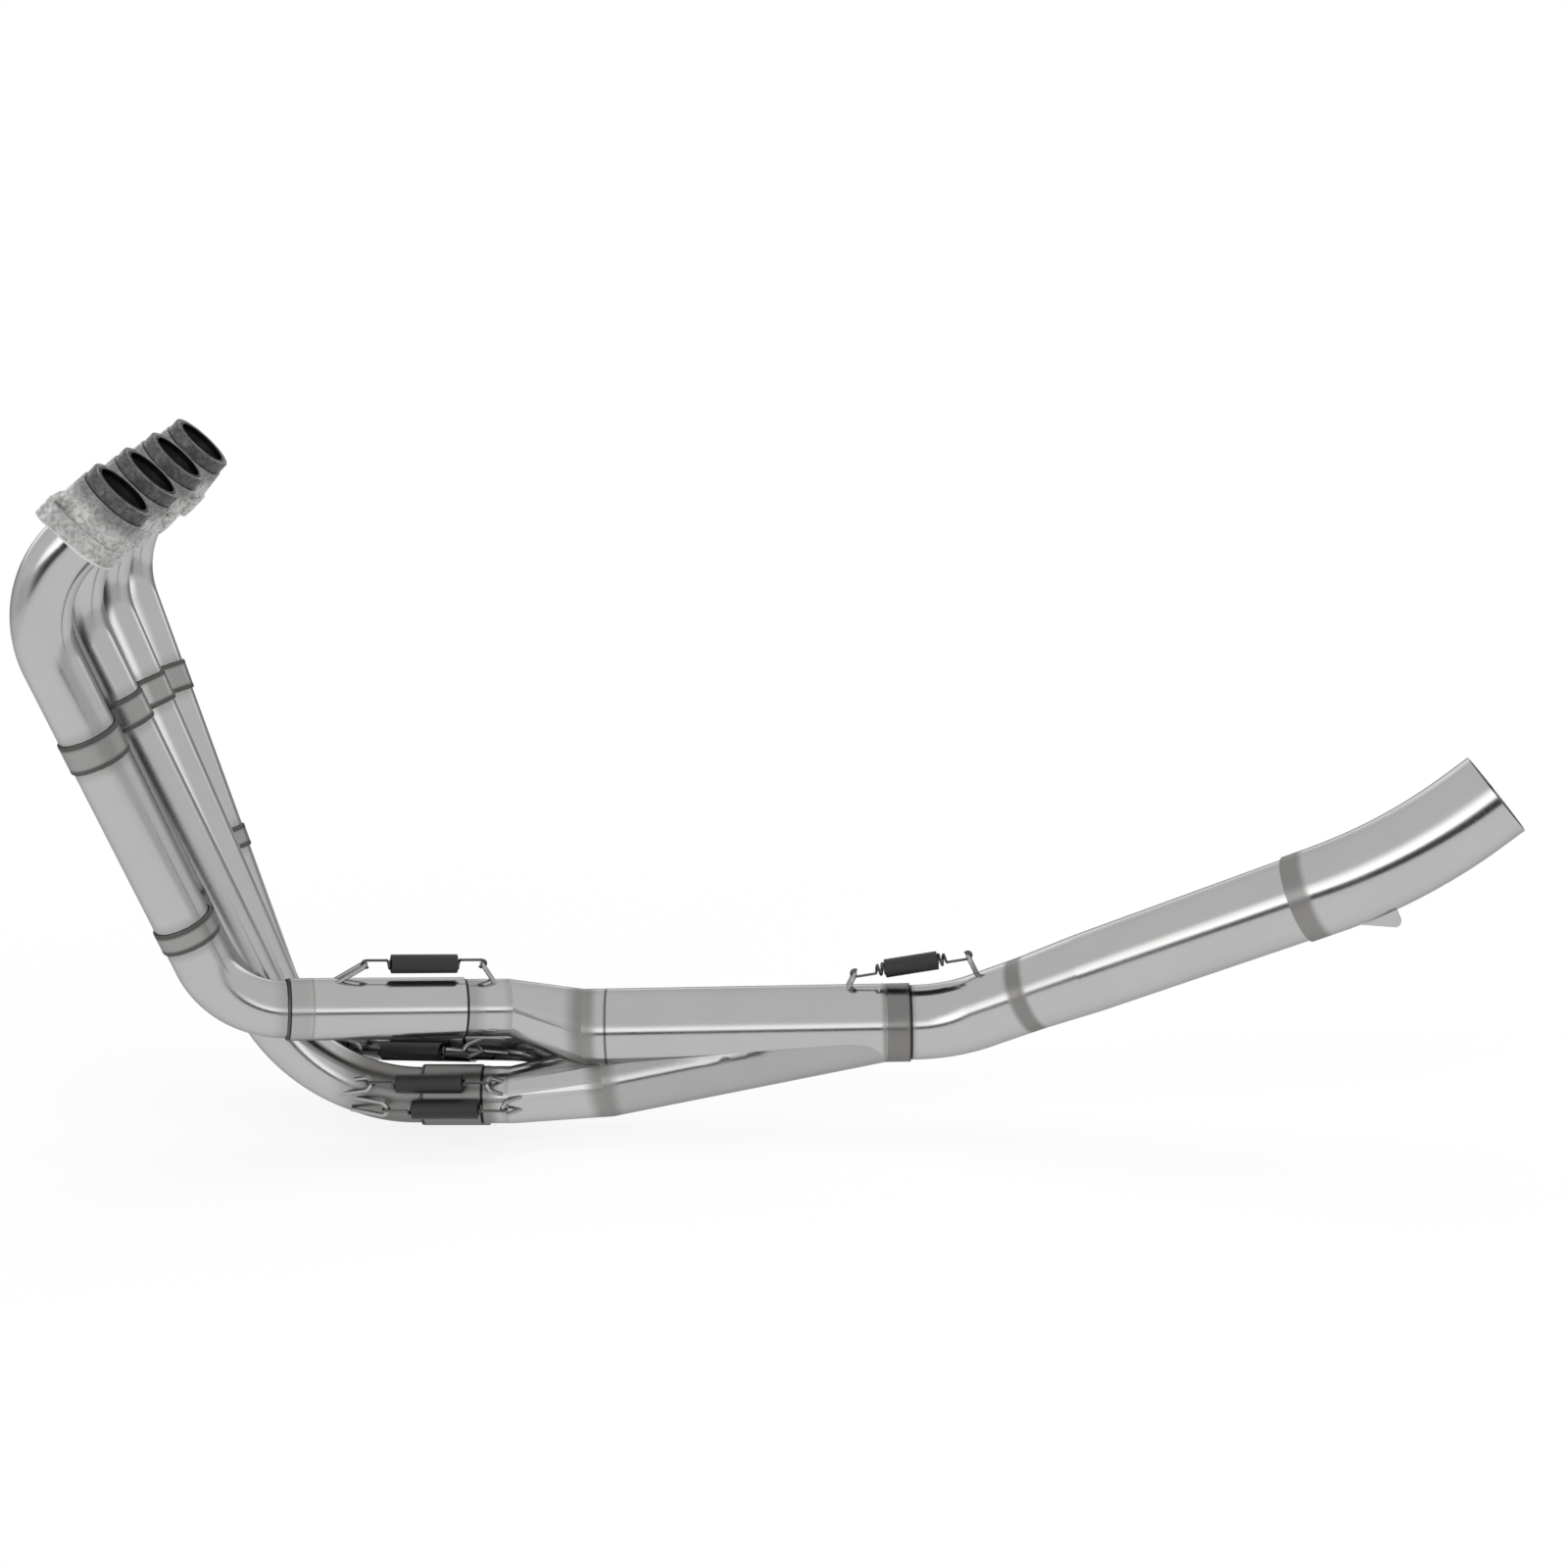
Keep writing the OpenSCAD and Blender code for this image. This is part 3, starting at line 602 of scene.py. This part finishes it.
def studio_world(studio):
    """A white room whose dark and light strips only reflections show."""
    world = bpy.context.scene.world or bpy.data.worlds.new("Studio")
    bpy.context.scene.world = world
    world.use_nodes = True
    tree = world.node_tree
    tree.nodes.clear()
    place = tree.nodes.new("ShaderNodeTexCoord")
    parts = tree.nodes.new("ShaderNodeSeparateXYZ")
    tree.links.new(place.outputs["Generated"], parts.inputs[0])
    across, depth, height = parts.outputs["X"], parts.outputs["Y"], parts.outputs["Z"]
    facing = maths(tree, "ABSOLUTE", depth)
    ahead = ramp(tree, facing, 0.55, 0.9)

    dark = product(
        tree, strip_mask(tree, height, DARK_STRIP), maths(tree, "MULTIPLY_ADD", ahead, 0.75, 0.25),
        ramp(tree, depth, -0.1, 0.15, 1.0, 0.45),
    )
    glow = product(tree, strip_mask(tree, height, LIGHT_STRIP), ahead)
    left = ramp(tree, maths(tree, "MULTIPLY", across, -1.0), 0.1, 0.4)
    flank = product(tree, strip_mask(tree, height, TAIL_STRIP), left, ramp(tree, facing, 0.45, 0.65))

    wall = maths(tree, "SUBTRACT", studio.wall, product(tree, dark, studio.wall * DARK_DEPTH))
    wall = maths(tree, "ADD", wall, product(tree, glow, studio.strip))
    wall = maths(tree, "ADD", wall, product(tree, flank, studio.flank))

    path = tree.nodes.new("ShaderNodeLightPath")
    camera = path.outputs["Is Camera Ray"]
    mirrored = maths(tree, "MAXIMUM", path.outputs["Is Glossy Ray"], path.outputs["Is Transmission Ray"])
    shown = maths(tree, "MAXIMUM", camera, product(tree, mirrored, wall))
    unseen = maths(tree, "SUBTRACT", 1.0, maths(tree, "MAXIMUM", camera, mirrored))
    level = maths(tree, "ADD", shown, maths(tree, "MULTIPLY", studio.room, unseen))
    back = tree.nodes.new("ShaderNodeBackground")
    tree.links.new(grey(tree, level), back.inputs["Color"])
    out = tree.nodes.new("ShaderNodeOutputWorld")
    tree.links.new(back.outputs[0], out.inputs["Surface"])


def floor_material(studio):
    """A pale floor that turns white for the camera and for reflections, and keeps a soft shadow."""
    made, tree, surface, place = new_material("Studio Floor")
    surface.inputs["Base Color"].default_value = (*studio.floor, 1.0)
    surface.inputs["Roughness"].default_value = 0.9
    surface.inputs["Specular IOR Level"].default_value = 0.0
    path = tree.nodes.new("ShaderNodeLightPath")
    glow = add_node(tree, "ShaderNodeEmission", Color=(1.0, 1.0, 1.0, 1.0))
    mixer = tree.nodes.new("ShaderNodeMixShader")
    mirrored = maths(tree, "MAXIMUM", path.outputs["Is Glossy Ray"], path.outputs["Is Transmission Ray"])
    seen = maths(tree, "MAXIMUM", path.outputs["Is Camera Ray"], mirrored)
    away = vector_maths(tree, "LENGTH", vector_maths(tree, "SUBTRACT", place, MIDDLE))
    tree.links.new(product(tree, seen, ramp(tree, away, *FLOOR_FADE, *FLOOR_SHINE)), mixer.inputs["Fac"])
    tree.links.new(surface.outputs[0], mixer.inputs[1])
    tree.links.new(glow.outputs[0], mixer.inputs[2])
    tree.links.new(mixer.outputs[0], tree.nodes["Material Output"].inputs["Surface"])
    return made


def aimed(place, aim):
    """The matrix of a lamp or a camera at a place, looking at the aim."""
    place, aim = Vector(place), Vector(aim)
    return Matrix.Translation(place) @ (aim - place).to_track_quat("-Z", "Y").to_matrix().to_4x4()


def add_lamp(name, place, size, power):
    """A rectangular lamp that lights the header and isn't seen or mirrored itself."""
    lamp = bpy.data.lights.new(name, "AREA")
    lamp.shape = "RECTANGLE"
    lamp.size, lamp.size_y = size
    lamp.energy = power
    made = bpy.data.objects.new(name, lamp)
    made.matrix_world = aimed(place, MIDDLE)
    made.visible_camera = False
    made.visible_glossy = False
    bpy.context.scene.collection.objects.link(made)


class HEADER_OT_studio(bpy.types.Operator):
    """Add the floor, the lamps, the white room and the camera"""

    bl_idname = "header.studio"
    bl_label = "Studio"

    def execute(self, context):
        scene = context.scene
        studio = scene.header_studio
        bm = bmesh.new()
        bmesh.ops.create_grid(bm, x_segments=2, y_segments=2, size=FLOOR_HALF)
        bmesh.ops.translate(bm, verts=bm.verts, vec=(MIDDLE.x, MIDDLE.y, CAD_LOW.z - FLOOR_GAP))
        mesh = bpy.data.meshes.new("floor")
        bm.to_mesh(mesh)
        bm.free()
        floor = bpy.data.objects.new("floor", mesh)
        scene.collection.objects.link(floor)
        wear(floor, floor_material(studio))
        floor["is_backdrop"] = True

        studio_world(studio)
        for name, place, size, setting in LAMPS:
            add_lamp(name, place, size, getattr(studio, setting))

        turn = math.radians(studio.height)
        camera = bpy.data.objects.new("camera", bpy.data.cameras.new("camera"))
        camera.data.sensor_width = SENSOR_WIDTH
        camera.data.lens = studio.lens
        camera.data.clip_start, camera.data.clip_end = CLIP
        place = CAMERA_AIM + Vector((0.0, -math.cos(turn), math.sin(turn))) * CAMERA_DISTANCE
        camera.matrix_world = aimed(place, CAMERA_AIM)
        scene.collection.objects.link(camera)
        scene.camera = camera
        scene.view_settings.view_transform = "Standard"
        return {"FINISHED"}


# ---------------------------------------------------------------- tubes


def sleeve_stain(name):
    """The stain that a weld sleeve leaves on its tube."""
    sleeve = ends_of(name)
    fade = 0.010
    return Band(sleeve.middle, sleeve.axis, sleeve.half, fade, 0.45, sleeve.half + fade + 0.03)


def dress_primary(i):
    """The steel of one primary tube from its port to its slip joint."""
    sleeves = [f"upper_sleeve_{i}"] + ([f"lower_sleeve_{i}"] if i in OUTER_TUBES else [])
    socket = ends_of(f"slip_socket_{i}")
    port = ends_of(f"port_ring_{i}", towards=UPWARDS)
    stains_and_painted_shade = [sleeve_stain(name) for name in sleeves]
    # Painted shade: an inner tube takes the heat stain colour in full within 35 mm of the start of its slip
    # socket, fading out over 30 mm more
    if i in INNER_TUBES:
        stains_and_painted_shade.append(Band(socket.first, socket.axis, 0.035, 0.03, 1.0, 0.07))
    else:
        stains_and_painted_shade.append(Band(socket.first, socket.axis, 0.001, 0.012, 0.4))
    stains_and_painted_shade.append(Band(port.last, port.axis, 0.004, 0.02))
    # Painted shade: a dark line where the tube enters its port ring
    painted_gap_shade = [Band(port.last, port.axis, 0.0025, 0.003, 1.0, 0.03)]
    tube = steel_material(f"Tube Steel {i}", stains_and_painted_shade, painted_gap_shade=painted_gap_shade)
    lengths = ["upper_tube", "lower_tube"] + (["middle_tube"] if i in OUTER_TUBES else [])
    for kind in lengths:
        wear(CAD[f"{kind}_{i}"], tube)


def dress_slip_joint(i):
    """The steel of one slip socket and of the inlet tube inside it; the inner tubes' joints are darker, as
    painted shade between the tubes.
    """
    steel = bpy.context.scene.header_steel
    inner = i in INNER_TUBES
    socket = ends_of(f"slip_socket_{i}")
    start, mouth, axis = socket.first, socket.last, socket.axis
    inlet = ends_of(f"inlet_tube_{i}", axis)
    shoulder = start + axis * 0.0155
    wear(CAD[f"slip_socket_{i}"], steel_material(
        f"Slip Socket Steel {i}",
        # A thin dark line of painted shade at the socket's shoulder, and a heat stain at its start
        [Band(shoulder, axis, 0.0003, 0.001, 0.5), Band(start, axis, 0.012, 0.006, 0.3)],
        # Painted shade: an inner tube's socket takes the heat stain colour all over
        steel.stain if inner else None,
        steel.stain_roughness if inner else 0.18,
        # Painted shade: dark lines at the socket's start and at its mouth
        [Band(start, axis, 0.0006, 0.0006), Band(mouth, axis, 0.0002, 0.0004, 0.5)],
    ))
    wear(CAD[f"inlet_tube_{i}"], steel_material(
        f"Inlet Steel {i}",
        [
            # A heat stain at the socket's mouth, made stronger on the inner tubes as painted shade
            Band(mouth, axis, 0.004, 0.012, 0.9 if inner else 0.4, WIDE_REACH),
            Band(inlet.last, axis, 0.001, 0.006, 0.3, WIDE_REACH),
        ],
        # Painted shade: a dark line where the inlet tube leaves the socket's mouth
        painted_gap_shade=[Band(mouth, axis, 0.0014, 0.0006)],
    ))


def dress_collector():
    """The steel of the secondary tubes, the link pipe and the tail pipe."""
    steel = bpy.context.scene.header_steel
    ring = ends_of("stop_ring")
    upper = ends_of("upper_secondary", ring.axis)
    lower = ends_of("lower_secondary")
    link = ends_of("link_pipe")
    tail_start = start_of("tail_pipe", link.axis)
    seam = upper.first + ring.axis * 0.016
    wear(CAD["upper_secondary"], steel_material(
        "Upper Secondary Steel",
        [
            Band(upper.first, ring.axis, 0.004, 0.008, 0.75, COLLECTOR_REACH),
            Band(ring.first, ring.axis, 0.001, 0.004, 0.7, COLLECTOR_REACH),
        ],
        # Painted shade: a dark line along the seam
        painted_gap_shade=[Band(seam, ring.axis, 0.0005, 0.0008, 0.7, COLLECTOR_REACH)],
    ))
    wear(CAD["lower_secondary"], steel_material(
        "Lower Secondary Steel",
        [Band(lower.first, lower.axis, 0.004, 0.010, 0.75, COLLECTOR_REACH)],
        tuple(0.82 * c for c in steel.colour),
    ))
    wear(CAD["link_pipe_front"], steel_material(
        "Link Front Steel",
        [
            Band(ring.last, ring.axis, 0.001, 0.004, 0.5, 0.05),
            Band(link.first, link.axis, 0.004, 0.005, 0.9, WIDE_REACH),
        ],
        # Painted shade: a dark line at the step from the stop ring
        painted_gap_shade=[Band(ring.last, ring.axis, 0.001, 0.0008, 1.0, 0.05)],
    ))
    wear(CAD["link_pipe"], steel_material(
        "Link Steel", [Band(link.first, link.axis, 0.003, 0.005, 0.9, WIDE_REACH)]))
    wear(CAD["tail_pipe"], steel_material(
        "Tail Steel", [Band(tail_start, link.axis, 0.011, 0.006, 0.85, WIDE_REACH)]))
    wear(CAD["tail_tab"], steel_material("Tab Steel"))


class HEADER_OT_tubes(bpy.types.Operator):
    """Give the tubes their brushed steel with a stain beside each weld, painted shade in the gaps and
    painted shade round the inner tubes' slip joints
    """

    bl_idname = "header.tubes"
    bl_label = "Tubes"

    def execute(self, context):
        for i in PORTS:
            dress_primary(i)
            dress_slip_joint(i)
        dress_collector()
        return {"FINISHED"}


class HEADER_OT_stained_joints(bpy.types.Operator):
    """Give the weld sleeves, the merges and the stop ring their heat stained steel, with painted shade at
    the sleeves' edges and at the stop ring's end
    """

    bl_idname = "header.stained_joints"
    bl_label = "Stained Joints"

    def execute(self, context):
        steel = context.scene.header_steel
        worn = tuple(0.4 * a + 0.6 * b for a, b in zip(steel.colour, steel.stain))
        for name in sorted(CAD):
            if "sleeve" not in name:
                continue
            sleeve = ends_of(name)
            edges = (sleeve.first, sleeve.last)
            wear(CAD[name], steel_material(
                f"Weld Sleeve {name[-1]} {name[:5]}",
                [Band(edge, sleeve.axis, 0.0012, 0.0022) for edge in edges],
                worn,
                0.22,
                # Painted shade: dark lines at the sleeve's edges
                [Band(edge, sleeve.axis, 0.0012, 0.0006, 0.6) for edge in edges],
            ))
        ring = ends_of("stop_ring")
        wear(CAD["stop_ring"], steel_material(
            "Stop Ring Steel", [Band(ring.last, ring.axis, 0.001, 0.003)], steel.stain, 0.26,
            # Painted shade: a dark line at the stop ring's end
            [Band(ring.last, ring.axis, 0.0006, 0.0005, 0.8)],
        ))
        for label, merge, mouth in (
            ("Upper", "upper_merge", ends_of("upper_secondary", ring.axis)),
            ("Lower", "lower_merge", ends_of("lower_secondary")),
        ):
            wear(CAD[merge], steel_material(
                f"{label} Merge Steel", [Band(mouth.first, mouth.axis, 0.002, 0.012, 0.8, COLLECTOR_REACH)]))
        return {"FINISHED"}


class HEADER_OT_weld_beads(bpy.types.Operator):
    """Lay a rippled bead at each end of each weld sleeve and round the start of each slip socket"""

    bl_idname = "header.weld_beads"
    bl_label = "Weld Beads"

    def execute(self, context):
        welds = context.scene.header_welds
        material = steel_material("Weld Bead", (), welds.colour, 0.34)
        for i in PORTS:
            for name in (f"upper_sleeve_{i}", f"lower_sleeve_{i}"):
                if name not in CAD:
                    continue
                sleeve = ends_of(name)
                bm = bmesh.new()
                for k, edge in enumerate((sleeve.first, sleeve.last)):
                    bead_into(bm, edge, sleeve.axis, sleeve.radius - 0.0006, welds, i + k * 5)
                mesh_piece(f"bead_{name}", bm, material)
            socket = ends_of(f"slip_socket_{i}")
            bm = bmesh.new()
            bead_into(bm, socket.first, socket.axis, socket.radius - 0.0008, welds, i)
            mesh_piece(f"bead_socket_{i}", bm, material)
        return {"FINISHED"}


# ---------------------------------------------------------------- castings


def cast_material(name, light, dark, pitting, bands=()):
    """A sand casting; each band comes with the colour that it blends in."""
    made, tree, surface, place = new_material(name)
    surface.inputs["Metallic"].default_value = 0.85
    skin = place_group(
        tree, cast_skin_group(), Position=place, Light=opaque(light), Dark=opaque(dark), Pitting=pitting
    )
    tint = skin.outputs["Colour"]
    for band, colour in bands:
        tint = blend_colours(tree, band_mask(tree, place, band), tint, colour)
    tree.links.new(tint, surface.inputs["Base Color"])
    tree.links.new(skin.outputs["Rough"], surface.inputs["Roughness"])
    add_bump(tree, surface, skin.outputs["Height"], 0.4, 0.0005)
    return made


class HEADER_OT_castings(bpy.types.Operator):
    """Finish the four cast flanges and their port rings, with painted shade round each flange's collar and a
    painted highlight along its rim
    """

    bl_idname = "header.castings"
    bl_label = "Castings"

    def execute(self, context):
        castings = context.scene.header_castings
        port = ends_of("port_ring_1", towards=UPWARDS)
        along = points_of("flange_1") @ np.array(port.axis) - port.first.dot(port.axis)
        rim, collar = (port.first + port.axis * edge for edge in (along.min(), along.max()))
        pale = (0.8, 0.8, 0.79)
        flange = cast_material(
            "Cast Flange", castings.colour, [c * 0.6 for c in castings.colour], castings.pitting,
            [
                # Painted shade: the flange darkens towards the port ring colour round its collar
                (Band(collar, port.axis, 0.003, 0.011, 0.6, ROW_REACH), castings.ring),
                # Painted highlight: a light strip along the flange's rim
                (Band(rim, port.axis, 0.001, 0.0012, 0.7, ROW_REACH), pale),
            ],
        )
        ring = cast_material("Port Ring", [c * 1.7 for c in castings.ring], castings.ring, 0.3)
        for i in PORTS:
            rounded_copy(f"flange_{i}", f"cast_flange_{i}", castings.edge, flange)
            rounded_copy(f"port_ring_{i}", f"cast_port_ring_{i}", 0.0008, ring)
        return {"FINISHED"}


# ---------------------------------------------------------------- springs


def rubber_material(colour):
    made, tree, surface, place = new_material("Rubber Sleeve")
    surface.inputs["Specular IOR Level"].default_value = 0.45
    grain = place_group(
        tree, satin_grain_group(), Position=place, Grain_Size=1400.0, Cloud_Size=160.0, Amount=0.9
    )
    shade = grey(tree, grain.outputs["Shade"])
    tree.links.new(blend_colours(tree, 1.0, colour, shade, "MULTIPLY"), surface.inputs["Base Color"])
    tree.links.new(maths(tree, "ADD", 0.52, grain.outputs["Rough"]), surface.inputs["Roughness"])
    add_bump(tree, surface, grain.outputs["Height"], 0.3, 0.0003)
    return made


class HEADER_OT_springs(bpy.types.Operator):
    """Finish the springs, their lugs and the rubber sleeves over them"""

    bl_idname = "header.springs"
    bl_label = "Springs"

    def execute(self, context):
        springs = context.scene.header_springs
        steel = context.scene.header_steel
        wire = steel_material("Spring Wire", (), springs.wire, 0.38)
        # Painted shade: the lugs are darker than the tube steel, for the shade among the springs
        lug = steel_material("Lug Steel", (), tuple(0.8 * c for c in steel.colour), 0.3)
        rubber = rubber_material(springs.rubber)
        for k in SPRINGS:
            wear(CAD[f"spring_{k}"], wire)
            wear(CAD[f"spring_lugs_{k}"], lug)
            rounded_copy(f"rubber_cover_{k}", f"rubber_sleeve_{k}", springs.lip, rubber)
        return {"FINISHED"}


# ---------------------------------------------------------------- panel and registration


class HEADER_PT_panel(bpy.types.Panel):
    """Shows each step's settings and its button"""

    bl_idname = "HEADER_PT_panel"
    bl_label = "Exhaust Header"
    bl_space_type = "VIEW_3D"
    bl_region_type = "UI"
    bl_category = "Header"

    def draw(self, context):
        for label, settings, operator in STEPS:
            box = self.layout.box()
            box.label(text=label)
            group = getattr(context.scene, settings)
            for name in group.__annotations__:
                box.prop(group, name)
            box.operator(operator)


STEPS = (
    ("Studio", "header_studio", "header.studio"),
    ("Tubes", "header_steel", "header.tubes"),
    ("Stained joints", "header_steel", "header.stained_joints"),
    ("Weld beads", "header_welds", "header.weld_beads"),
    ("Castings", "header_castings", "header.castings"),
    ("Springs", "header_springs", "header.springs"),
)

GROUPS = {
    "header_studio": HEADER_PG_studio,
    "header_steel": HEADER_PG_steel,
    "header_welds": HEADER_PG_welds,
    "header_castings": HEADER_PG_castings,
    "header_springs": HEADER_PG_springs,
}

CLASSES = tuple(GROUPS.values()) + (
    HEADER_OT_studio,
    HEADER_OT_tubes,
    HEADER_OT_stained_joints,
    HEADER_OT_weld_beads,
    HEADER_OT_castings,
    HEADER_OT_springs,
    HEADER_PT_panel,
)


def register():
    for cls in CLASSES:
        bpy.utils.register_class(cls)
    for name, group in GROUPS.items():
        setattr(bpy.types.Scene, name, PointerProperty(type=group))


def unregister():
    for name in GROUPS:
        delattr(bpy.types.Scene, name)
    for cls in reversed(CLASSES):
        bpy.utils.unregister_class(cls)


def main():
    register()
    for _, _, operator in STEPS:
        group, name = operator.split(".")
        getattr(getattr(bpy.ops, group), name)()


if __name__ == "__main__":
    main()
